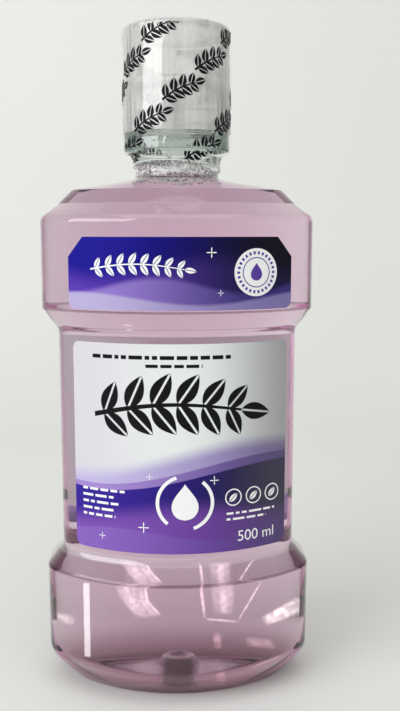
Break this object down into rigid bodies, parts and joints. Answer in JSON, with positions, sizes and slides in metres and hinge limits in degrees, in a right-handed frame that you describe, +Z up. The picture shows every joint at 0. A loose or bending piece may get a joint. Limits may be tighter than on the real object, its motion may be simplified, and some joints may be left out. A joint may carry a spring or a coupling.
{
  "type": "mouthwash bottle",
  "caption": "Clear oblong bottle of pink mouthwash with a screw cap that doubles as a dosing cup, labels front and back, and a torn shrink sleeve over cap and neck.",
  "frame": {"origin": "centre of the overall box, on the table under the bottle's standing ring and on the axis of its neck", "axes": "+Z up along the neck and the cap's axis, front labels face -Y, +X to the right as seen from the front"},
  "size_m": [0.087, 0.0573, 0.2132],
  "materials": {
    "clear_pet": "gloss",
    "mauve_liquid": "gloss",
    "dark_label_film": "satin",
    "pale_label_film": "satin",
    "label_back_film": "satin",
    "clear_cup": "gloss",
    "tinted_insert": "gloss",
    "seal_foam": "matte",
    "shrink_film": "gloss",
    "neck_film": "gloss"
  },
  "bodies": {
    "bottle": {"bottle": "clear_pet", "mouthwash": "mauve_liquid", "shoulder_label": "dark_label_film", "front_label": "pale_label_film", "back_label": "label_back_film", "sleeve_neck": "neck_film"},
    "seal": {"cap_seal": "seal_foam"},
    "cap": {"cap_insert": "tinted_insert", "cap_cup": "clear_cup", "sleeve_cap": "shrink_film"}
  },
  "joints": [
    {"name": "cap_lift", "type": "slide", "parent": "bottle", "child": "seal", "axis": [0, 0, 1], "range_m": [0, 0.00525]},
    {"name": "cap_turn", "type": "hinge", "parent": "seal", "child": "cap", "pos_m": [0, 0, 0.1752], "axis": [0, 0, 1], "range_deg": [0, 450]}
  ],
  "couplings": [
    {"joint": "cap_lift", "follows": "cap_turn", "m_per_rad": 0.00066845}
  ]
}
